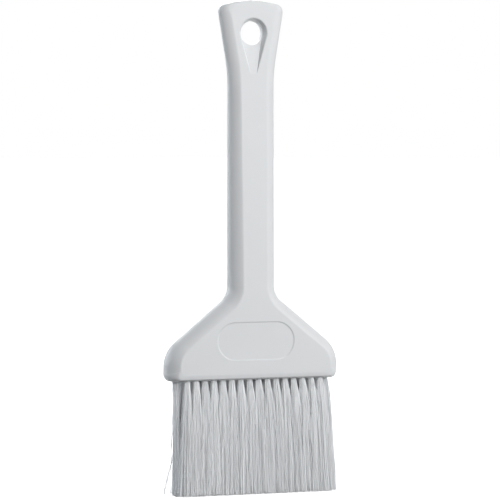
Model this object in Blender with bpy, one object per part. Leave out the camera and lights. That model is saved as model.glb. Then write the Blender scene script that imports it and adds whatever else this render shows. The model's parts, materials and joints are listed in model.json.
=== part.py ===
"""A flat pastry brush: a body of handle and head in one moulding, and fifty bristle tufts.

Dimensions are in millimetres and the scene is in metres. +Z runs up the handle, +X across the
head, and the front face looks along -Y. The origin lies under the middle of the head, in the
plane of the bristle tips.
"""

import math

import bmesh
import bpy
from mathutils import Vector

MM = 0.001

# Overall size
LENGTH = 185.0
HEAD_WIDTH = 70.0
BRISTLE_LENGTH = 43.0
GRIP_WIDTH = 18.5

# The front and back are flat faces that lean towards each other on the way up
HEAD_THICKNESS = 11.7
TOP_THICKNESS = 5.2
FACE_LEAN = (HEAD_THICKNESS - TOP_THICKNESS) / 2 / (LENGTH - BRISTLE_LENGTH)

# Outline of the body at mid thickness
BOTTOM_CORNER_RADIUS = 3.0
SHOULDER_HEIGHT = 54.1
SHOULDER_RADIUS = 12.0
NECK_HEIGHT = 74.7
NECK_RADIUS = 7.0
BUTT_HEIGHT = 158.0
BUTT_RADIUS = 60.0
BUTT_FLARE = 0.17
TOP_RADIUS = 38.0
TOP_ARC_HALF_WIDTH = 10.0
TOP_CORNER_RADIUS = 3.0

# How far the outline of a flat face lies inside the outline at mid thickness
SIDE_INSET = 4.5
SHOULDER_INSET = 4.25
GRIP_LOW_INSET = 4.5
GRIP_HIGH_INSET = 4.05
BUTT_INSET = 4.0
BOTTOM_INSET = 2.2
TOP_INSET = 1.0
FLAT_BOTTOM_CORNER_RADIUS = 2.0
FLAT_TOP_CORNER_RADIUS = 3.5
FLAT_TOP_ARC_HALF_WIDTH = 5.5

# Steps in each rounded stretch of the outline, all even
CORNER_STEPS = 8
SHOULDER_STEPS = 6
BUTT_STEPS = 2
TOP_STEPS = 6

# Rounding of the edge between the flat faces
NOSE_ANGLE = math.radians(62)
END_EXPONENT = 3.5
EDGE_STATIONS = (-1.0, -0.985, -0.92, -0.75, -0.42, 0.0, 0.42, 0.75, 0.92, 0.985, 1.0)
ON_AXIS = 0.01

# Hanging hole through a thin web. Round it, both faces have a recess in the shape of a teardrop:
# its walls slope inwards, and below the hole its floor ramps up from the web to the face
HOLE_RADIUS = 4.45
HOLE_HEIGHT = 172.8
HOLE_SIDES = 32
WEB_THICKNESS = 2.6
RECESS_RADIUS = 5.55
RECESS_FLOOR_RADIUS = 4.65
RECESS_APEX_HEIGHT = 153.4
RECESS_END_HEIGHT = 157.3
RECESS_SIDES = 24
CUTTER_REACH = 2.0

# Shallow blank panel in the front of the head
PANEL_HEIGHT = 57.7
PANEL_WIDTH = 31.0
PANEL_DEPTH_UP = 14.0
PANEL_RECESS = 0.25
PANEL_ARC_STEPS = 10

# Tufts, in three rows
TUFT_PITCH = 3.6
ROW_SPACING = 3.1
ROWS = (("front", -1, 16), ("middle", 0, 18), ("back", 1, 16))
TUFT_RADIUS = 1.1
TUFT_SIDES = 10
TUFT_GAP = 0.3
TUFT_HOLE_DEPTH = 9.0
TUFT_END_GAP = 0.5
TUFT_OPENS_OVER = 8.0
TIP_SPREAD_X = 1.02
TIP_SIDE_LEAN = 1.6
TIP_SPREAD_Y = 1.12
TIP_GAP = 0.3


def clear_scene():
    """Removes whatever the file holds."""
    for obj in list(bpy.data.objects):
        bpy.data.objects.remove(obj)


def make_material(name, colour, roughness):
    """A plain plastic for one part."""
    material = bpy.data.materials.new(name)
    material.use_nodes = True
    shader = material.node_tree.nodes["Principled BSDF"]
    shader.inputs["Base Color"].default_value = (*colour, 1.0)
    shader.inputs["Roughness"].default_value = roughness
    shader.inputs["Metallic"].default_value = 0.0
    material.diffuse_color = (*colour, 1.0)
    return material


def add_object(name, mesh_builder, parent, material=None):
    """Turns a bmesh in millimetres into a named object under its parent."""
    bmesh.ops.scale(mesh_builder, vec=Vector((MM, MM, MM)), verts=mesh_builder.verts)
    bmesh.ops.recalc_face_normals(mesh_builder, faces=mesh_builder.faces)
    mesh = bpy.data.meshes.new(name)
    mesh_builder.to_mesh(mesh)
    mesh_builder.free()
    obj = bpy.data.objects.new(name, mesh)
    bpy.context.scene.collection.objects.link(obj)
    obj.parent = parent
    if material:
        mesh.materials.append(material)
        mesh.shade_smooth()
        mesh.set_sharp_from_angle(angle=math.radians(30))
    return obj


def add_cutter(name, mesh_builder, parent):
    """A solid that only cuts others, and isn't a part."""
    cutter = add_object(name, mesh_builder, parent)
    cutter.hide_render = True
    cutter.display_type = "WIRE"
    return cutter


def cut(obj, cutter):
    """Takes the cutter's volume out of the object."""
    boolean = obj.modifiers.new(cutter.name, "BOOLEAN")
    boolean.operation = "DIFFERENCE"
    boolean.solver = "EXACT"
    boolean.object = cutter


def half_thickness(height):
    """Distance from mid thickness to a flat face, at a height."""
    return HEAD_THICKNESS / 2 - FACE_LEAN * (height - BRISTLE_LENGTH)


def moved_inside(point, direction, inset):
    """A line of the outline, moved to its left, which is the inside."""
    along = Vector(direction).normalized()
    return Vector(point) + inset * Vector((-along.y, along.x)), along


def crossing(first, second):
    """Where two lines meet, each a point and a direction."""
    (start, along), (other, across) = first, second
    gap = other - start
    return start + along * gap.cross(across) / along.cross(across)


def rounded(first, second, radius, steps):
    """Points of the arc that rounds the corner between two lines."""
    corner, before, after = crossing(first, second), first[1], second[1]
    side = math.copysign(1.0, before.cross(after))
    turn = before.angle(after)
    start = corner - before * radius * math.tan(turn / 2)
    centre = start + side * radius * Vector((-before.y, before.x))
    arm = start - centre
    points = []
    for step in range(steps + 1):
        angle = side * turn * step / steps
        cos, sin = math.cos(angle), math.sin(angle)
        points.append(centre + Vector((arm.x * cos - arm.y * sin, arm.x * sin + arm.y * cos)))
    return points


def outline(inside):
    """The right half of the body's outline, from bottom to top, as (x, z) points.

    inside is 0 for the outline at mid thickness, and 1 for the outline of a flat face. With each
    point comes how much it belongs to the bottom or the top edge, from 0 to 1.
    """
    def between(outer, inner):
        return outer + inside * (inner - outer)

    half_head, half_grip = HEAD_WIDTH / 2, GRIP_WIDTH / 2
    flare = Vector((half_grip - half_head, NECK_HEIGHT - SHOULDER_HEIGHT))
    grip_lean = inside * (GRIP_LOW_INSET - GRIP_HIGH_INSET) / (BUTT_HEIGHT - NECK_HEIGHT)
    bottom = moved_inside((0, BRISTLE_LENGTH), (1, 0), inside * BOTTOM_INSET)
    side = moved_inside((half_head, 0), (0, 1), inside * SIDE_INSET)
    shoulder = moved_inside((half_head, SHOULDER_HEIGHT), flare, inside * SHOULDER_INSET)
    grip = moved_inside((half_grip, NECK_HEIGHT), (grip_lean, 1), inside * GRIP_LOW_INSET)
    butt = moved_inside((half_grip, BUTT_HEIGHT), (BUTT_FLARE, 1), inside * BUTT_INSET)
    top_radius = TOP_RADIUS - inside * TOP_INSET
    top_x = between(TOP_ARC_HALF_WIDTH, FLAT_TOP_ARC_HALF_WIDTH)
    top_rise = math.sqrt(top_radius**2 - top_x**2)
    top = moved_inside((top_x, LENGTH - TOP_RADIUS + top_rise), (-top_rise, top_x), 0)
    top_mirrored = (Vector((-top[0].x, top[0].y)), Vector((top[1].x, -top[1].y)))
    bottom_radius = between(BOTTOM_CORNER_RADIUS, FLAT_BOTTOM_CORNER_RADIUS)
    shoulder_radius = SHOULDER_RADIUS - inside * SHOULDER_INSET
    neck_radius = NECK_RADIUS + inside * GRIP_LOW_INSET
    butt_radius = BUTT_RADIUS + inside * BUTT_INSET
    corner_radius = between(TOP_CORNER_RADIUS, FLAT_TOP_CORNER_RADIUS)
    arcs = (
        (rounded(bottom, side, bottom_radius, CORNER_STEPS), 1, 0),
        (rounded(side, shoulder, shoulder_radius, SHOULDER_STEPS), 0, 0),
        (rounded(shoulder, grip, neck_radius, SHOULDER_STEPS), 0, 0),
        (rounded(grip, butt, butt_radius, BUTT_STEPS), 0, 0),
        (rounded(butt, top, corner_radius, CORNER_STEPS), 0, 1),
        (rounded(top, top_mirrored, top_radius, TOP_STEPS), 1, 1),
    )
    points = []
    for arc, end_before, end_after in arcs:
        for step, point in enumerate(arc):
            share = end_before + (end_after - end_before) * step / (len(arc) - 1)
            points.append((point, share))
    return [(point, share) for point, share in points if point.x > -ON_AXIS]


def edge_profile(station, end_share):
    """How far an edge point has come in from the outer outline, from 0 to 1.

    station runs from -1 at the front face to 1 at the back. The long edges are part of an
    ellipse, and the bottom and the top are flat with a rounded rim.
    """
    reach = station * math.sin(NOSE_ANGLE)
    nose = (1 - math.sqrt(1 - reach**2)) / (1 - math.cos(NOSE_ANGLE))
    flat = 1 - (1 - abs(station) ** END_EXPONENT) ** (1 / END_EXPONENT)
    return nose + end_share * (flat - nose)


def body_mesh():
    """The handle and head, without its holes."""
    right = [(o, i, e) for (o, e), (i, _) in zip(outline(0), outline(1))]
    beside_axis = [place for place in reversed(right) if place[0].x > ON_AXIS]
    left = [(Vector((-o.x, o.y)), Vector((-i.x, i.y)), e) for o, i, e in beside_axis]
    builder = bmesh.new()
    rings = []
    for station in EDGE_STATIONS:
        ring = []
        for outer, inner, end_share in right + left:
            place = outer.lerp(inner, edge_profile(station, end_share))
            depth = station * half_thickness(place.y)
            ring.append(builder.verts.new((place.x, depth, place.y)))
        rings.append(ring)
    count = len(rings[0])
    for first, second in zip(rings, rings[1:]):
        for i in range(count):
            j = (i + 1) % count
            builder.faces.new((first[i], first[j], second[j], second[i]))
    for ring in (rings[0], rings[-1]):
        fill_in_bands(builder, ring)
    return builder


def fill_in_bands(builder, ring):
    """Fills a flat face with bands, each between two points and their mirror images."""
    last = len(ring) - 1
    for i in range(last // 2):
        band = (ring[i], ring[i + 1], ring[last - i - 1], ring[last - i])
        builder.faces.new(dict.fromkeys(band))


def cylinder_mesh(builder, radius, sides, start, end):
    """Adds a capped cylinder between two points to a bmesh."""
    start, end = Vector(start), Vector(end)
    turn = (end - start).to_track_quat("Z", "Y").to_matrix().to_4x4()
    turn.translation = (start + end) / 2
    bmesh.ops.create_cone(
        builder, cap_ends=True, segments=sides, radius1=radius, radius2=radius,
        depth=(end - start).length, matrix=turn,
    )


def hole_cutter():
    """Cuts the hanging hole straight through."""
    builder = bmesh.new()
    reach = HEAD_THICKNESS
    start, end = (0, -reach, HOLE_HEIGHT), (0, reach, HOLE_HEIGHT)
    cylinder_mesh(builder, HOLE_RADIUS, HOLE_SIDES, start, end)
    return builder


def recess_cutter(facing):
    """Cuts the teardrop recess into one face; facing is -1 for the front, 1 for the back.

    Every section parallel to the face is the same teardrop, scaled about the hole's centre.
    """
    web_depth = half_thickness(HOLE_HEIGHT) - WEB_THICKNESS / 2
    wall = (1 - RECESS_FLOOR_RADIUS / RECESS_RADIUS) / web_depth
    ramp_top = HOLE_HEIGHT - HOLE_RADIUS
    ramp_depth = half_thickness(ramp_top) - WEB_THICKNESS / 2
    ramp = ramp_depth / (ramp_top - RECESS_END_HEIGHT)
    to_apex = HOLE_HEIGHT - RECESS_APEX_HEIGHT
    tangent = math.asin(RECESS_RADIUS / to_apex)
    bend = (ramp_top - HOLE_HEIGHT) / (1 - wall * ramp_depth)
    bend_x = (to_apex + bend) * math.tan(tangent)
    rim = [(0.0, -to_apex), (-bend_x, bend), (bend_x, bend)]
    for step in range(RECESS_SIDES + 1):
        angle = (math.pi + 2 * tangent) * step / RECESS_SIDES - tangent
        rim.append((RECESS_RADIUS * math.cos(angle), RECESS_RADIUS * math.sin(angle)))
    builder = bmesh.new()
    for x, up in rim:
        on_ramp = ramp * (HOLE_HEIGHT + up - RECESS_END_HEIGHT) / (1 + ramp * wall * up)
        on_web = (web_depth - FACE_LEAN * up) / (1 - FACE_LEAN * wall * up)
        for depth in (-CUTTER_REACH, min(on_ramp, on_web)):
            scale = 1 - wall * depth
            height = HOLE_HEIGHT + scale * up
            y = facing * (half_thickness(height) - depth)
            builder.verts.new((scale * x, y, height))
    bmesh.ops.convex_hull(builder, input=builder.verts)
    return builder


def panel_cutter():
    """Cuts the shallow panel, a lying stadium whose floor is level with the leaning face."""
    radius = PANEL_DEPTH_UP / 2
    builder = bmesh.new()
    front, back = [], []
    for side, start in ((1, -math.pi / 2), (-1, math.pi / 2)):
        for step in range(PANEL_ARC_STEPS + 1):
            angle = start + math.pi * step / PANEL_ARC_STEPS
            x = side * (PANEL_WIDTH / 2 - radius) + radius * math.cos(angle)
            z = PANEL_HEIGHT + radius * math.sin(angle)
            front.append(builder.verts.new((x, -HEAD_THICKNESS, z)))
            back.append(builder.verts.new((x, PANEL_RECESS - half_thickness(z), z)))
    builder.faces.new(front)
    builder.faces.new(reversed(back))
    for i in range(len(front)):
        j = (i + 1) % len(front)
        builder.faces.new((front[i], back[i], back[j], front[j]))
    return builder


def tuft_places():
    """The name of each tuft and the place of its hole in the head's bottom."""
    for row, side, count in ROWS:
        for number in range(count):
            x = (number - (count - 1) / 2) * TUFT_PITCH
            yield f"{row}_tuft_{number + 1:02d}", x, side * ROW_SPACING


def tuft_hole_cutter():
    """Cuts all the blind holes for the tufts."""
    builder = bmesh.new()
    for _, x, y in tuft_places():
        start = (x, y, BRISTLE_LENGTH - 1)
        end = (x, y, BRISTLE_LENGTH + TUFT_HOLE_DEPTH)
        cylinder_mesh(builder, TUFT_RADIUS + TUFT_GAP, TUFT_SIDES, start, end)
    return builder


def tuft_mesh(x, y):
    """One tuft, about the place where it leaves its hole.

    It is round in its hole, then opens out until the tips fill their share of the row. All tufts
    have a slight set towards +X.
    """
    tip_x = (TUFT_PITCH * TIP_SPREAD_X - TIP_GAP) / 2
    tip_y = (ROW_SPACING * TIP_SPREAD_Y - TIP_GAP) / 2
    lean_x = x * (TIP_SPREAD_X - 1) + TIP_SIDE_LEAN
    lean_y = y * (TIP_SPREAD_Y - 1)
    root = TUFT_HOLE_DEPTH - TUFT_END_GAP
    levels = (
        (root, TUFT_RADIUS, TUFT_RADIUS, 0.0),
        (-0.5, TUFT_RADIUS, TUFT_RADIUS, 0.0),
        (-TUFT_OPENS_OVER, 0.85 * tip_x, 0.85 * tip_y, TUFT_OPENS_OVER / BRISTLE_LENGTH),
        (-BRISTLE_LENGTH, tip_x, tip_y, 1.0),
    )
    builder = bmesh.new()
    rings = []
    for height, wide, deep, lean in levels:
        ring = []
        for side in range(TUFT_SIDES):
            angle = 2 * math.pi * (side + 0.5) / TUFT_SIDES
            place = (
                lean * lean_x + wide * math.cos(angle),
                lean * lean_y + deep * math.sin(angle),
                height,
            )
            ring.append(builder.verts.new(place))
        rings.append(ring)
    for first, second in zip(rings, rings[1:]):
        for i in range(TUFT_SIDES):
            j = (i + 1) % TUFT_SIDES
            builder.faces.new((first[i], first[j], second[j], second[i]))
    builder.faces.new(rings[0])
    builder.faces.new(reversed(rings[-1]))
    return builder


def build_body(brush):
    """The moulded handle and head with all its holes."""
    white = make_material("white_polypropylene", (0.83, 0.84, 0.85), 0.42)
    body = add_object("brush_body", body_mesh(), brush, white)
    cutters = (
        ("panel_cutter", panel_cutter()),
        ("front_recess_cutter", recess_cutter(-1)),
        ("back_recess_cutter", recess_cutter(1)),
        ("hanging_hole_cutter", hole_cutter()),
        ("tuft_hole_cutter", tuft_hole_cutter()),
    )
    for name, mesh_builder in cutters:
        cut(body, add_cutter(name, mesh_builder, brush))


def build_tufts(brush):
    """Every tuft, each with its origin at the mouth of its hole."""
    for name, x, y in tuft_places():
        clear = make_material(f"{name}_filament", (0.80, 0.83, 0.87), 0.35)
        tuft = add_object(name, tuft_mesh(x, y), brush, clear)
        tuft.location = Vector((x, y, BRISTLE_LENGTH)) * MM


def main():
    clear_scene()
    brush = bpy.data.objects.new("pastry_brush", None)
    bpy.context.scene.collection.objects.link(brush)
    build_body(brush)
    build_tufts(brush)


main()
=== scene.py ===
"""The looks of a flat pastry brush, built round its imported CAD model.

The body is modelled again with smooth edges on the CAD solid's own sizes, every tuft becomes a
bundle of filaments folded over its steel anchor, and all of it stands on a pale floor in soft
light. Shapes are worked out in millimetres and made in metres.
"""

import json
import math

import bmesh
import bpy
import numpy as np
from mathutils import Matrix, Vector

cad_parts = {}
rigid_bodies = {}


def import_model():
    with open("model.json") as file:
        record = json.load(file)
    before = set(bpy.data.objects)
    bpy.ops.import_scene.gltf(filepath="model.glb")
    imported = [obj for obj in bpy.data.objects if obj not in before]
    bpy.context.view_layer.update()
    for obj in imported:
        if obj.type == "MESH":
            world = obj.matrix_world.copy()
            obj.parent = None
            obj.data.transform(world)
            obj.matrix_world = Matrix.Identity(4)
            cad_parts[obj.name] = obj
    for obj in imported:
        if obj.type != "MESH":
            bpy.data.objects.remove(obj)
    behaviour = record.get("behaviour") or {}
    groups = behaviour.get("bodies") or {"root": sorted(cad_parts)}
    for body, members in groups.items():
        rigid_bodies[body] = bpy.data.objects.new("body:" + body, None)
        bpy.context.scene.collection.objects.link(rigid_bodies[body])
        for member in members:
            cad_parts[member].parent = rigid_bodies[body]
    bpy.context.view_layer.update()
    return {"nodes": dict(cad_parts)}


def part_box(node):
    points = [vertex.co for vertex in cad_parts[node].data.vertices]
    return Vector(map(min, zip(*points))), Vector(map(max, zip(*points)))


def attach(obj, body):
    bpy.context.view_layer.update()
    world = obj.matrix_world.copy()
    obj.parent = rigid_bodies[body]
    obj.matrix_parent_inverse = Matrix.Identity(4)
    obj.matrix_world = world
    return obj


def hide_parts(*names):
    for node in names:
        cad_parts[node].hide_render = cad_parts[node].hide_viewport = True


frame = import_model()

MM = 0.001
SEED = 11
BODY_NODE = "brush_body"

# Sizes of the body, from the frame
BODY_LOW, BODY_HIGH = (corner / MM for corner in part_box(BODY_NODE))
LENGTH = BODY_HIGH.z
BRISTLE_LENGTH = BODY_LOW.z
HALF_HEAD = BODY_HIGH.x

# The two flat faces lean towards each other
BOTTOM_INSET = 2.2
FACE_LEAN = 3.25 / 142
HALF_THICKNESS = BODY_HIGH.y + FACE_LEAN * BOTTOM_INSET

# Outline of the body at mid thickness, and how far a flat face's outline lies inside it
HALF_GRIP = 9.25
BOTTOM_CORNER_RADIUS = 3.0
FLAT_BOTTOM_CORNER_RADIUS = 2.0
SHOULDER_HEIGHT = 54.1
SHOULDER_RADIUS = 12.0
NECK_HEIGHT = 74.7
NECK_RADIUS = 7.0
BUTT_HEIGHT = 158.0
BUTT_RADIUS = 60.0
BUTT_FLARE = 0.17
TOP_RADIUS = 38.0
TOP_ARC_HALF_WIDTH = 10.0
TOP_CORNER_RADIUS = 3.0
FLAT_TOP_CORNER_RADIUS = 3.5
FLAT_TOP_ARC_HALF_WIDTH = 5.5

# Steps in each rounded stretch of the outline, all even
CORNER_STEPS = 30
SHOULDER_STEPS = 22
BUTT_STEPS = 8
TOP_STEPS = 16
SIDE_INSET = 4.5
SHOULDER_INSET = 4.25
GRIP_LOW_INSET = 4.5
GRIP_HIGH_INSET = 4.05
BUTT_INSET = 4.0
TOP_INSET = 1.0

# Edges. A crease is eased from CREASE_START of the way to a flat face on, and a little past it
NOSE_ANGLE = math.radians(62)
END_EXPONENT = 3.5
EDGE_STEPS = 16
ON_AXIS = 0.01
CREASE_START = 0.965
CREASE_PAST = 0.09
CREASE_STEPS = 5
PARTING_HEIGHT = 0.007
PARTING_WIDTH = 0.014
RIM_ROUND = 0.3
SHARP_ANGLE = math.radians(24)

# Hanging hole and the teardrop recess round it
HOLE_RADIUS = 4.45
HOLE_HEIGHT = 172.8
WEB_THICKNESS = 2.6
RECESS_RADIUS = 5.55
RECESS_FLOOR_RADIUS = 4.65
RECESS_APEX_HEIGHT = 153.4
RECESS_END_HEIGHT = 157.3
RECESS_STEPS = 72

HOLE_EASE = 0.35
HOLE_SIDES = 96
EASE_STEPS = 6

# Blank panel. Its wall is pairs of how deep and how far out
PANEL_HEIGHT = 57.7
PANEL_WIDTH = 31.0
PANEL_DEPTH_UP = 14.0
PANEL_RECESS = 0.25
PANEL_STEPS = 28
PANEL_WALL = ((-1.0, 0.7), (-0.02, 0.35), (0.06, 0.12), (0.16, 0.0), (0.23, -0.14), (PANEL_RECESS, -0.45))

# Tufts
TUFT_RADIUS = 1.1
TUFT_GAP = 0.3
TUFT_HOLE_DEPTH = 9.0
TUFT_HOLE_SIDES = 28
FOLD_HEIGHT = 7.2

# Filaments. Their tips fan out from the tuft, lean a little to the right and end unevenly
FILAMENT_RADIUS = 0.075
FILAMENT_SIDES = 5
FILAMENT_END_ANGLE = math.radians(80)
FOLD_DEGREES = (150, 110, 70, 30)
FILAMENTS = 110
LEG_STEPS = 8
FAN_POWER = 0.72
TIP_FAN = (2.8, 2.6)
TIP_SCATTER = 0.95
TUFT_SCATTER = 0.2
TIP_SPREAD = (0.055, 0.10)
TIP_SIDE_LEAN = 1.3
TIP_UNEVEN = 0.5
TIPS_LOW = np.array([-31.0, -5.4])
TIPS_HIGH = np.array([34.6, 5.4])
BOW = 0.11

# Stray filaments at the left edge: the tuft that they leave, and where their tips end
STRAYS = {"middle_tuft_01": ((-34.4, 1.8),), "back_tuft_01": ((-33.8, 4.6), (-32.9, 5.0))}
STRAY_POWER = 1.9

# Steel anchors
ANCHOR_WIDTH = 2.6
ANCHOR_HEIGHT = 1.7
ANCHOR_THICKNESS = 0.35
ANCHOR_EASE = 0.06

# Softboxes: name, degrees round from the front towards +X, degrees up, metres across, watts, colour
COOL = (0.985, 0.998, 1.012)
COOLER = (0.93, 0.99, 1.05)
SOFTBOX_DISTANCE = 0.9
LIT_PLACE = Vector((0, 0, 0.10))
LIGHT_BOUNCES = 16
SOFTBOXES = (
    ("key_low", 37, 12, 0.5, 2.9, COOL),
    ("key_front", 7, 12, 0.5, 2.4, COOL),
    ("key_high", 7, 50, 0.5, 2.0, COOL),
    ("fill", -23, 12, 0.5, 0.5, COOLER),
    ("side", 67, 12, 0.5, 1.5, COOL),
    ("rim_left", -143, 12, 0.5, 2.6, COOLER),
    ("rim_side", -113, 12, 0.5, 2.8, COOLER),
    ("back", 165, 35, 0.7, 5.5, COOL),
)

# Floor
FLOOR_GLOW = 0.93
FLOOR_RADIUS = 9000.0
FLOOR_DROP = 0.0001

# Camera: its turn and rise from straight in front, its distance and aim in metres
CAMERA_TURN = math.radians(-23.28)
CAMERA_RISE = math.radians(2.23)
CAMERA_DISTANCE = 1.3778
CAMERA_AIM = Vector((-0.0002, 0.0, 0.09156))
CAMERA_LENS = 264.6


# ---------------------------------------------------------------- materials


def new_material(name):
    """A node material, with its nodes, links and shader."""
    material = bpy.data.materials.new(name)
    material.use_nodes = True
    tree = material.node_tree
    return material, tree, tree.nodes["Principled BSDF"]


def add_node(tree, kind, **values):
    """Adds a node and sets its inputs by name, or its properties."""
    node = tree.nodes.new(kind)
    for name, value in values.items():
        label = name.replace("_", " ")
        if label in node.inputs:
            node.inputs[label].default_value = value
        else:
            setattr(node, name.lower(), value)
    return node


def body_material():
    """White polypropylene: satin, faintly translucent, with a fine moulded grain."""
    material, tree, shader = new_material("satin_polypropylene")
    place = add_node(tree, "ShaderNodeTexCoord")
    cloud = add_node(tree, "ShaderNodeTexNoise", Scale=45.0, Detail=3.0, Roughness=0.55)
    grain = add_node(tree, "ShaderNodeTexNoise", Scale=2600.0, Detail=2.0, Roughness=0.5)
    tint = add_node(tree, "ShaderNodeValToRGB")
    tint.color_ramp.elements[0].position = 0.3
    tint.color_ramp.elements[0].color = (0.735, 0.741, 0.746, 1)
    tint.color_ramp.elements[1].position = 0.7
    tint.color_ramp.elements[1].color = (0.760, 0.764, 0.768, 1)
    gloss = add_node(tree, "ShaderNodeMapRange", To_Min=0.34, To_Max=0.46)
    bump = add_node(tree, "ShaderNodeBump", Strength=0.10, Distance=0.00003)
    link = tree.links.new
    link(place.outputs["Object"], cloud.inputs["Vector"])
    link(place.outputs["Object"], grain.inputs["Vector"])
    link(cloud.outputs["Fac"], tint.inputs["Fac"])
    link(tint.outputs["Color"], shader.inputs["Base Color"])
    link(cloud.outputs["Fac"], gloss.inputs["Value"])
    link(gloss.outputs["Result"], shader.inputs["Roughness"])
    link(grain.outputs["Fac"], bump.inputs["Height"])
    link(bump.outputs["Normal"], shader.inputs["Normal"])
    shader.inputs["Subsurface Weight"].default_value = 0.12
    shader.inputs["Subsurface Radius"].default_value = (1.0, 0.95, 0.9)
    shader.inputs["Subsurface Scale"].default_value = 0.0015
    shader.inputs["IOR"].default_value = 1.49
    return material


def filament_material():
    """Fine polyester filament: nearly white and glossy, in streaks along its length."""
    material, tree, shader = new_material("polyester_filament")
    place = add_node(tree, "ShaderNodeTexCoord")
    stretch = add_node(tree, "ShaderNodeMapping")
    stretch.inputs["Scale"].default_value = (2200.0, 2200.0, 30.0)
    streak = add_node(tree, "ShaderNodeTexNoise", Scale=1.0, Detail=1.0)
    tint = add_node(tree, "ShaderNodeValToRGB")
    tint.color_ramp.elements[0].position = 0.3
    tint.color_ramp.elements[0].color = (0.972, 0.978, 0.984, 1)
    tint.color_ramp.elements[1].position = 0.7
    tint.color_ramp.elements[1].color = (0.99, 0.993, 0.996, 1)
    link = tree.links.new
    link(place.outputs["Object"], stretch.inputs["Vector"])
    link(stretch.outputs["Vector"], streak.inputs["Vector"])
    link(streak.outputs["Fac"], tint.inputs["Fac"])
    link(tint.outputs["Color"], shader.inputs["Base Color"])
    shader.inputs["Roughness"].default_value = 0.32
    shader.inputs["IOR"].default_value = 1.5
    return material


def anchor_material():
    """Stainless strip with rolling marks."""
    material, tree, shader = new_material("stainless_anchor_strip")
    place = add_node(tree, "ShaderNodeTexCoord")
    stretch = add_node(tree, "ShaderNodeMapping")
    stretch.inputs["Scale"].default_value = (300.0, 4000.0, 9000.0)
    marks = add_node(tree, "ShaderNodeTexNoise", Scale=1.0, Detail=2.0)
    rough = add_node(tree, "ShaderNodeMapRange", To_Min=0.22, To_Max=0.42)
    link = tree.links.new
    link(place.outputs["Object"], stretch.inputs["Vector"])
    link(stretch.outputs["Vector"], marks.inputs["Vector"])
    link(marks.outputs["Fac"], rough.inputs["Value"])
    link(rough.outputs["Result"], shader.inputs["Roughness"])
    shader.inputs["Base Color"].default_value = (0.62, 0.62, 0.63, 1)
    shader.inputs["Metallic"].default_value = 1.0
    return material


def pale_material(name, colour, glow):
    """The floor's white, which gives off some light as a lit table does."""
    material, _, shader = new_material(name)
    shader.inputs["Base Color"].default_value = (*colour, 1)
    shader.inputs["Roughness"].default_value = 0.6
    shader.inputs["Emission Color"].default_value = (1, 1, 1, 1)
    shader.inputs["Emission Strength"].default_value = glow
    return material


# ---------------------------------------------------------------- the body


def half_thickness(height):
    """Distance from mid thickness to a flat face, at a height."""
    return HALF_THICKNESS - FACE_LEAN * (height - BRISTLE_LENGTH)


def moved_inside(point, direction, inset):
    """A line of the outline, moved to its left, which is the inside."""
    along = Vector(direction).normalized()
    return Vector(point) + inset * Vector((-along.y, along.x)), along


def crossing(first, second):
    """Where two lines meet, each a point and a direction."""
    (start, along), (other, across) = first, second
    gap = other - start
    return start + along * gap.cross(across) / along.cross(across)


def rounded(first, second, radius, steps):
    """Points of the arc that rounds the corner between two lines."""
    corner, before, after = crossing(first, second), first[1], second[1]
    side = math.copysign(1.0, before.cross(after))
    turn = before.angle(after)
    start = corner - before * radius * math.tan(turn / 2)
    centre = start + side * radius * Vector((-before.y, before.x))
    arm = start - centre
    points = []
    for step in range(steps + 1):
        angle = side * turn * step / steps
        cos, sin = math.cos(angle), math.sin(angle)
        points.append(centre + Vector((arm.x * cos - arm.y * sin, arm.x * sin + arm.y * cos)))
    return points


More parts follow.
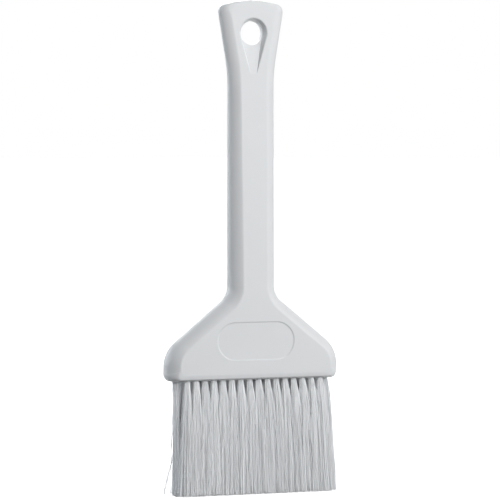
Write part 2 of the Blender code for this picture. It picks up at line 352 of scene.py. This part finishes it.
def outline(inside):
    """The right half of the body's outline as (x, z) points, from bottom to top.

    inside is 0 for the outline at mid thickness, and 1 for the outline of a flat face. With each
    point comes how much it belongs to the bottom or the top edge, from 0 to 1.
    """
    def between(outer, inner):
        return outer + inside * (inner - outer)

    flare = Vector((HALF_GRIP - HALF_HEAD, NECK_HEIGHT - SHOULDER_HEIGHT))
    grip_lean = inside * (GRIP_LOW_INSET - GRIP_HIGH_INSET) / (BUTT_HEIGHT - NECK_HEIGHT)
    bottom = moved_inside((0, BRISTLE_LENGTH), (1, 0), inside * BOTTOM_INSET)
    side = moved_inside((HALF_HEAD, 0), (0, 1), inside * SIDE_INSET)
    shoulder = moved_inside((HALF_HEAD, SHOULDER_HEIGHT), flare, inside * SHOULDER_INSET)
    grip = moved_inside((HALF_GRIP, NECK_HEIGHT), (grip_lean, 1), inside * GRIP_LOW_INSET)
    butt = moved_inside((HALF_GRIP, BUTT_HEIGHT), (BUTT_FLARE, 1), inside * BUTT_INSET)
    top_radius = TOP_RADIUS - inside * TOP_INSET
    top_x = between(TOP_ARC_HALF_WIDTH, FLAT_TOP_ARC_HALF_WIDTH)
    top_rise = math.sqrt(top_radius**2 - top_x**2)
    top = moved_inside((top_x, LENGTH - TOP_RADIUS + top_rise), (-top_rise, top_x), 0)
    top_mirrored = (Vector((-top[0].x, top[0].y)), Vector((top[1].x, -top[1].y)))
    bottom_radius = between(BOTTOM_CORNER_RADIUS, FLAT_BOTTOM_CORNER_RADIUS)
    shoulder_radius = SHOULDER_RADIUS - inside * SHOULDER_INSET
    neck_radius = NECK_RADIUS + inside * GRIP_LOW_INSET
    butt_radius = BUTT_RADIUS + inside * BUTT_INSET
    corner_radius = between(TOP_CORNER_RADIUS, FLAT_TOP_CORNER_RADIUS)
    arcs = (
        (rounded(bottom, side, bottom_radius, CORNER_STEPS), 1, 0),
        (rounded(side, shoulder, shoulder_radius, SHOULDER_STEPS), 0, 0),
        (rounded(shoulder, grip, neck_radius, SHOULDER_STEPS), 0, 0),
        (rounded(grip, butt, butt_radius, BUTT_STEPS), 0, 0),
        (rounded(butt, top, corner_radius, CORNER_STEPS), 0, 1),
        (rounded(top, top_mirrored, top_radius, TOP_STEPS), 1, 1),
    )
    points = []
    for arc, end_before, end_after in arcs:
        for step, point in enumerate(arc):
            share = end_before + (end_after - end_before) * step / (len(arc) - 1)
            points.append((point, share))
    return [(point, share) for point, share in points if point.x > -ON_AXIS]


def edge_profile(station, end_share):
    """How far an edge point has come in from the outer outline, from 0 to 1."""
    reach = station * math.sin(NOSE_ANGLE)
    nose = (1 - math.sqrt(1 - reach**2)) / (1 - math.cos(NOSE_ANGLE))
    flat = 1 - (1 - abs(station) ** END_EXPONENT) ** (1 / END_EXPONENT)
    ridge = PARTING_HEIGHT if abs(station) > PARTING_WIDTH / 2 else 0.0
    return max(nose + end_share * (flat - nose), ridge)


def edge_places(end_share):
    """Places across the edge, as pairs of how far in and how far towards a flat face.

    They run from the front face to the back. Midway is the fine raised line where the mould parts.
    """
    places = []
    for step in range(EDGE_STEPS + 1):
        station = CREASE_START * math.sin(math.pi / 2 * step / EDGE_STEPS)
        places.append((edge_profile(station, end_share), station))
    places.insert(1, (PARTING_HEIGHT, PARTING_WIDTH))
    start, past = places[-1], (1 + CREASE_PAST, 1.0)
    for step in range(1, CREASE_STEPS + 1):
        share = step / CREASE_STEPS
        weights = (1 - share) ** 2, 2 * share * (1 - share), share**2
        inside = weights[0] * start[0] + weights[1] + weights[2] * past[0]
        places.append((inside, weights[0] * start[1] + weights[1] + weights[2]))
    return [(inside, -station) for inside, station in reversed(places[1:])] + places


def body_shell():
    """The handle and head, without its holes."""
    right = [(o, i, e) for (o, e), (i, _) in zip(outline(0), outline(1))]
    beside_axis = [place for place in reversed(right) if place[0].x > ON_AXIS]
    left = [(Vector((-o.x, o.y)), Vector((-i.x, i.y)), e) for o, i, e in beside_axis]
    builder = bmesh.new()
    columns = []
    for outer, inner, end_share in right + left:
        column = []
        for inside, station in edge_places(end_share):
            place = outer.lerp(inner, inside)
            depth = station * half_thickness(place.y)
            column.append(builder.verts.new((place.x, depth, place.y)))
        columns.append(column)
    bridge(builder, [list(ring) for ring in zip(*columns)])
    return builder


def bridge(builder, rings):
    """Joins rings of vertices into a closed skin with flat ends."""
    count = len(rings[0])
    for first, second in zip(rings, rings[1:]):
        for i in range(count):
            j = (i + 1) % count
            builder.faces.new((first[i], first[j], second[j], second[i]))
    builder.faces.new(rings[0])
    builder.faces.new(reversed(rings[-1]))


def add_mesh(name, builder):
    """Turns a bmesh in millimetres into an object."""
    bmesh.ops.scale(builder, vec=Vector((MM, MM, MM)), verts=builder.verts)
    bmesh.ops.recalc_face_normals(builder, faces=builder.faces)
    mesh = bpy.data.meshes.new(name)
    builder.to_mesh(mesh)
    builder.free()
    obj = bpy.data.objects.new(name, mesh)
    bpy.context.scene.collection.objects.link(obj)
    return obj


def cylinder(builder, radius, sides, start, end):
    """Adds a capped cylinder between two points."""
    start, end = Vector(start), Vector(end)
    turn = (end - start).to_track_quat("Z", "Y").to_matrix().to_4x4()
    turn.translation = (start + end) / 2
    bmesh.ops.create_cone(
        builder, cap_ends=True, segments=sides, radius1=radius, radius2=radius,
        depth=(end - start).length, matrix=turn,
    )


def hole_cutter():
    """The hanging hole, with its edges eased into the web's two faces."""
    builder = bmesh.new()
    half = WEB_THICKNESS / 2
    profile = [(-BODY_HIGH.y, HOLE_RADIUS + HOLE_EASE)]
    for step in range(EASE_STEPS + 1):
        angle = math.pi / 2 * step / EASE_STEPS
        y = HOLE_EASE - half - HOLE_EASE * math.cos(angle)
        profile.append((y, HOLE_RADIUS + HOLE_EASE * (1 - math.sin(angle))))
    profile += [(-y, radius) for y, radius in reversed(profile)]
    rings = []
    for y, radius in profile:
        ring = []
        for step in range(HOLE_SIDES):
            angle = 2 * math.pi * step / HOLE_SIDES
            x, z = radius * math.cos(angle), HOLE_HEIGHT + radius * math.sin(angle)
            ring.append(builder.verts.new((x, y, z)))
        rings.append(ring)
    bridge(builder, rings)
    return builder


def recess_rim():
    """The teardrop on a flat face, as (x, z) from the hole's centre, starting at its apex."""
    to_apex = HOLE_HEIGHT - RECESS_APEX_HEIGHT
    tangent = math.asin(RECESS_RADIUS / to_apex)
    rim = [Vector((0.0, -to_apex))]
    for step in range(RECESS_STEPS + 1):
        angle = (math.pi + 2 * tangent) * step / RECESS_STEPS - tangent
        rim.append(RECESS_RADIUS * Vector((math.cos(angle), math.sin(angle))))
    return rim


def recess_cutter(facing):
    """The teardrop recess of one face, with an eased rim, a ramped floor and a flat web.

    Every section parallel to the face is the same teardrop, scaled about the hole's centre.
    """
    web_depth = half_thickness(HOLE_HEIGHT) - WEB_THICKNESS / 2
    wall = (RECESS_RADIUS - RECESS_FLOOR_RADIUS) / web_depth
    sections = [(-1.5, RIM_ROUND + 0.4), (-0.02, RIM_ROUND)]
    for step in range(1, EASE_STEPS + 1):
        share = step / EASE_STEPS
        depth = RIM_ROUND * share**2
        sections.append((depth, RIM_ROUND * (1 - share) ** 2 - wall * depth))
    sections.append((web_depth + 0.6, -wall * (web_depth + 0.6)))
    builder = bmesh.new()
    rings = []
    for depth, grow in sections:
        scale = (RECESS_RADIUS + grow) / RECESS_RADIUS
        ring = []
        for place in recess_rim():
            height = HOLE_HEIGHT + scale * place.y
            y = facing * (half_thickness(height) - depth)
            ring.append(builder.verts.new((scale * place.x, y, height)))
        rings.append(ring)
    bridge(builder, rings)
    ramp_top = Vector((0, facing * WEB_THICKNESS / 2, HOLE_HEIGHT - HOLE_RADIUS))
    ramp_end = Vector((0, facing * half_thickness(RECESS_END_HEIGHT), RECESS_END_HEIGHT))
    up_ramp = ramp_top - ramp_end
    slice_off(builder, ramp_end, Vector((0, -facing * up_ramp.z, facing * up_ramp.y)))
    slice_off(builder, ramp_top, Vector((0, -facing, 0)))
    return builder


def slice_off(builder, point, outward):
    """Takes away what lies past a plane, and closes the cut."""
    whole = builder.verts[:] + builder.edges[:] + builder.faces[:]
    bmesh.ops.bisect_plane(
        builder, geom=whole, plane_co=point, plane_no=outward.normalized(), clear_outer=True
    )
    rim = [edge for edge in builder.edges if edge.is_boundary]
    bmesh.ops.edgeloop_fill(builder, edges=rim)


def panel_cutter():
    """The shallow blank panel, whose sides slope and whose floor is level with the face."""
    half_up = PANEL_DEPTH_UP / 2
    builder = bmesh.new()
    rings = []
    for depth, grow in PANEL_WALL:
        radius = half_up + grow
        ring = []
        for side, start in ((1, -math.pi / 2), (-1, math.pi / 2)):
            for step in range(PANEL_STEPS + 1):
                angle = start + math.pi * step / PANEL_STEPS
                x = side * (PANEL_WIDTH / 2 - half_up) + radius * math.cos(angle)
                z = PANEL_HEIGHT + radius * math.sin(angle)
                ring.append(builder.verts.new((x, depth - half_thickness(z), z)))
        rings.append(ring)
    bridge(builder, rings)
    return builder


def tuft_hole_cutter():
    """All the blind holes."""
    builder = bmesh.new()
    radius = TUFT_RADIUS + TUFT_GAP
    for _, x, y in tuft_places():
        start = (x, y, BRISTLE_LENGTH - 1)
        end = (x, y, BRISTLE_LENGTH + TUFT_HOLE_DEPTH)
        cylinder(builder, radius, TUFT_HOLE_SIDES, start, end)
    return builder


def build_body():
    """The moulded body, in place of its CAD solid."""
    body = add_mesh("moulded_body", body_shell())
    cutters = (panel_cutter(), recess_cutter(-1), recess_cutter(1), hole_cutter(), tuft_hole_cutter())
    for builder in cutters:
        cutter = add_mesh("cutter", builder)
        boolean = body.modifiers.new("cut", "BOOLEAN")
        boolean.operation = "DIFFERENCE"
        boolean.object = cutter
    apply_modifiers(body)
    for obj in [obj for obj in bpy.data.objects if obj.name.startswith("cutter")]:
        bpy.data.objects.remove(obj)
    body.data.materials.clear()
    body.data.materials.append(body_material())
    body.data.shade_smooth()
    body.data.set_sharp_from_angle(angle=SHARP_ANGLE)
    weighted = body.modifiers.new("flat faces stay flat", "WEIGHTED_NORMAL")
    weighted.keep_sharp = True
    weighted.weight = 50
    apply_modifiers(body)
    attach(body, "root")
    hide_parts(BODY_NODE)


def apply_modifiers(obj):
    """Keeps the object's mesh as its modifiers make it."""
    bpy.context.view_layer.update()
    seen = obj.evaluated_get(bpy.context.evaluated_depsgraph_get())
    mesh = bpy.data.meshes.new_from_object(seen)
    obj.modifiers.clear()
    obj.data = mesh


# ---------------------------------------------------------------- tufts and anchors


def tuft_places():
    """Each tuft's CAD node, and the middle of its hole."""
    for node in sorted(frame["nodes"]):
        if node != BODY_NODE:
            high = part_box(node)[1]
            top = [v.co for v in frame["nodes"][node].data.vertices if v.co.z > high.z - MM]
            middle = sum(top, Vector()) / len(top) / MM
            yield node, middle.x, middle.y


def kept_between(tip, low, high):
    """Folds a place that lies past the block of bristles back into it."""
    tip = np.where(tip < low, 2 * low - tip, tip)
    return np.where(tip > high, 2 * high - tip, tip)


def leg_path(rng, root, tip, power):
    """One leg of a filament, from the mouth of its hole to its tip."""
    bow = rng.normal(0, BOW, 2)
    sway = rng.normal(0, BOW / 2, 2)
    end = abs(rng.normal(0, TIP_UNEVEN)) + 0.05
    points = [(*root, BRISTLE_LENGTH)]
    for step in range(1, LEG_STEPS + 1):
        share = step / LEG_STEPS
        place = root + (tip - root) * share**power
        place += bow * math.sin(math.pi * share) + sway * math.sin(2 * math.pi * share)
        points.append((*place, BRISTLE_LENGTH - share * (BRISTLE_LENGTH - end)))
    return points


def filament_path(rng, middle, tuft_tip, stray):
    """One folded filament: up one leg, over the anchor and down the other."""
    across = rng.uniform(-0.93, 0.93) * TUFT_RADIUS
    room = math.sqrt(TUFT_RADIUS**2 - across**2) - FILAMENT_RADIUS
    inner = ANCHOR_THICKNESS / 2 + FILAMENT_RADIUS
    layer = rng.uniform(inner, max(room, inner + 0.02))
    x, y, up = middle[0] + across, middle[1], BRISTLE_LENGTH + FOLD_HEIGHT
    legs = []
    for side in (-1, 1):
        root = np.array([across, side * layer * rng.uniform(0.8, 1.0)])
        tip = middle + root / TUFT_RADIUS * TIP_FAN + rng.normal(0, TIP_SCATTER, 2) + tuft_tip
        tip = kept_between(tip, TIPS_LOW, TIPS_HIGH)
        power = FAN_POWER
        if stray is not None:
            tip, power = stray + rng.normal(0, TUFT_SCATTER, 2), STRAY_POWER
        legs.append([(x, y + side * layer, up)] + leg_path(rng, middle + root, tip, power))
    fold = []
    for degrees in FOLD_DEGREES:
        turn = math.radians(degrees)
        fold.append((x, y + layer * math.cos(turn), up + layer * math.sin(turn)))
    return np.array(legs[0][::-1] + fold + legs[1])


def tubes(paths, radius, sides):
    """Round tubes along paths that never run along X, as vertices and faces with flat ends."""
    verts, faces = [], []
    turn = 2 * math.pi * np.arange(sides) / sides
    for path in paths:
        ahead = np.gradient(path, axis=0)
        ahead /= np.linalg.norm(ahead, axis=1)[:, None]
        right = np.array([1.0, 0, 0]) - ahead * ahead[:, :1]
        right /= np.linalg.norm(right, axis=1)[:, None]
        over = np.cross(ahead, right)
        rings = path[:, None] + radius * (
            right[:, None] * np.cos(turn)[None, :, None] + over[:, None] * np.sin(turn)[None, :, None]
        )
        first = sum(len(v) for v in verts)
        verts.append(rings.reshape(-1, 3))
        count = len(path)
        for i in range(count - 1):
            for j in range(sides):
                k = (j + 1) % sides
                a, b = first + i * sides, first + (i + 1) * sides
                faces.append((a + j, a + k, b + k, b + j))
        faces.append(tuple(first + j for j in reversed(range(sides))))
        last = first + (count - 1) * sides
        faces.append(tuple(last + j for j in range(sides)))
    return np.concatenate(verts), faces


def build_tuft(node, x, y, material, rng):
    """A bundle of folded filaments, in place of the tuft's CAD solid."""
    middle = np.array([x, y])
    tuft_tip = middle * TIP_SPREAD + (TIP_SIDE_LEAN, 0) + rng.normal(0, TUFT_SCATTER, 2)
    strays = STRAYS.get(node, ())
    strays += (None,) * (FILAMENTS - len(strays))
    paths = [filament_path(rng, middle, tuft_tip, stray) for stray in strays]
    verts, faces = tubes(paths, FILAMENT_RADIUS, FILAMENT_SIDES)
    mesh = bpy.data.meshes.new(node + "_filaments")
    mesh.from_pydata((verts * MM).tolist(), [], faces)
    mesh.materials.append(material)
    mesh.shade_smooth()
    mesh.set_sharp_from_angle(angle=FILAMENT_END_ANGLE)
    tuft = bpy.data.objects.new(node + "_filaments", mesh)
    bpy.context.scene.collection.objects.link(tuft)
    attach(tuft, "root")
    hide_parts(node)


def build_anchor(node, x, y, material):
    """The steel strip that the filaments fold over, with eased edges."""
    builder = bmesh.new()
    bmesh.ops.create_cube(builder, size=1.0)
    size = Vector((ANCHOR_WIDTH, ANCHOR_THICKNESS, ANCHOR_HEIGHT))
    bmesh.ops.scale(builder, vec=size, verts=builder.verts)
    edges = builder.edges[:]
    bmesh.ops.bevel(builder, geom=edges, offset=ANCHOR_EASE, segments=2, affect="EDGES", profile=0.5)
    height = BRISTLE_LENGTH + FOLD_HEIGHT - ANCHOR_HEIGHT / 2
    bmesh.ops.translate(builder, vec=Vector((x, y, height)), verts=builder.verts)
    anchor = add_mesh(node + "_anchor", builder)
    anchor.data.materials.append(material)
    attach(anchor, "root")


def build_tufts():
    """Every tuft with its anchor."""
    filament, steel = filament_material(), anchor_material()
    rng = np.random.default_rng(SEED)
    for node, x, y in tuft_places():
        build_tuft(node, x, y, filament, rng)
        build_anchor(node, x, y, steel)


# ---------------------------------------------------------------- the studio


def build_floor():
    """A wide pale floor that glows a little, so that it stays white to the horizon."""
    builder = bmesh.new()
    bmesh.ops.create_circle(builder, cap_ends=True, segments=96, radius=FLOOR_RADIUS)
    floor = add_mesh("floor", builder)
    floor.location.z = -FLOOR_DROP
    floor.data.materials.append(pale_material("pale_floor", (0.8, 0.8, 0.8), FLOOR_GLOW))
    floor.visible_diffuse = False


def add_softbox(name, place, aim, size, power, colour):
    """A square soft light, pointed at a place."""
    light = bpy.data.lights.new(name, "AREA")
    light.shape = "SQUARE"
    light.size = size
    light.energy = power
    light.color = colour
    lamp = bpy.data.objects.new(name, light)
    lamp.location = place
    lamp.rotation_euler = (Vector(aim) - Vector(place)).to_track_quat("-Z", "Y").to_euler()
    bpy.context.scene.collection.objects.link(lamp)
    return lamp


def build_lights():
    """Softboxes round the brush, on a white ground that itself lights nothing but reflections."""
    for name, turn, rise, size, power, colour in SOFTBOXES:
        turn, rise = math.radians(turn), math.radians(rise)
        out = Vector((math.sin(turn) * math.cos(rise), -math.cos(turn) * math.cos(rise), math.sin(rise)))
        add_softbox(name, LIT_PLACE + out * SOFTBOX_DISTANCE, LIT_PLACE, size, power, colour)
    world = bpy.data.worlds.new("studio")
    world.use_nodes = True
    sky = world.node_tree.nodes["Background"]
    sky.inputs["Color"].default_value = (1.0, 1.0, 1.0, 1)
    sky.inputs["Strength"].default_value = 1.0
    world.cycles_visibility.diffuse = False
    scene = bpy.context.scene
    scene.world = world
    scene.view_settings.view_transform = "Standard"
    scene.view_settings.look = "None"
    scene.cycles.max_bounces = LIGHT_BOUNCES
    scene.cycles.diffuse_bounces = LIGHT_BOUNCES


def build_camera():
    """The camera, turned to the left of the front and a little above it."""
    back = Vector((
        math.sin(CAMERA_TURN) * math.cos(CAMERA_RISE),
        -math.cos(CAMERA_TURN) * math.cos(CAMERA_RISE),
        math.sin(CAMERA_RISE),
    ))
    data = bpy.data.cameras.new("camera")
    data.lens = CAMERA_LENS
    data.sensor_width = 36.0
    data.clip_start = 0.05
    data.clip_end = 50.0
    camera = bpy.data.objects.new("camera", data)
    camera.location = CAMERA_AIM + back * CAMERA_DISTANCE
    camera.rotation_euler = (-back).to_track_quat("-Z", "Y").to_euler()
    bpy.context.scene.collection.objects.link(camera)
    bpy.context.scene.camera = camera


build_camera()
build_body()
build_tufts()
build_floor()
build_lights()
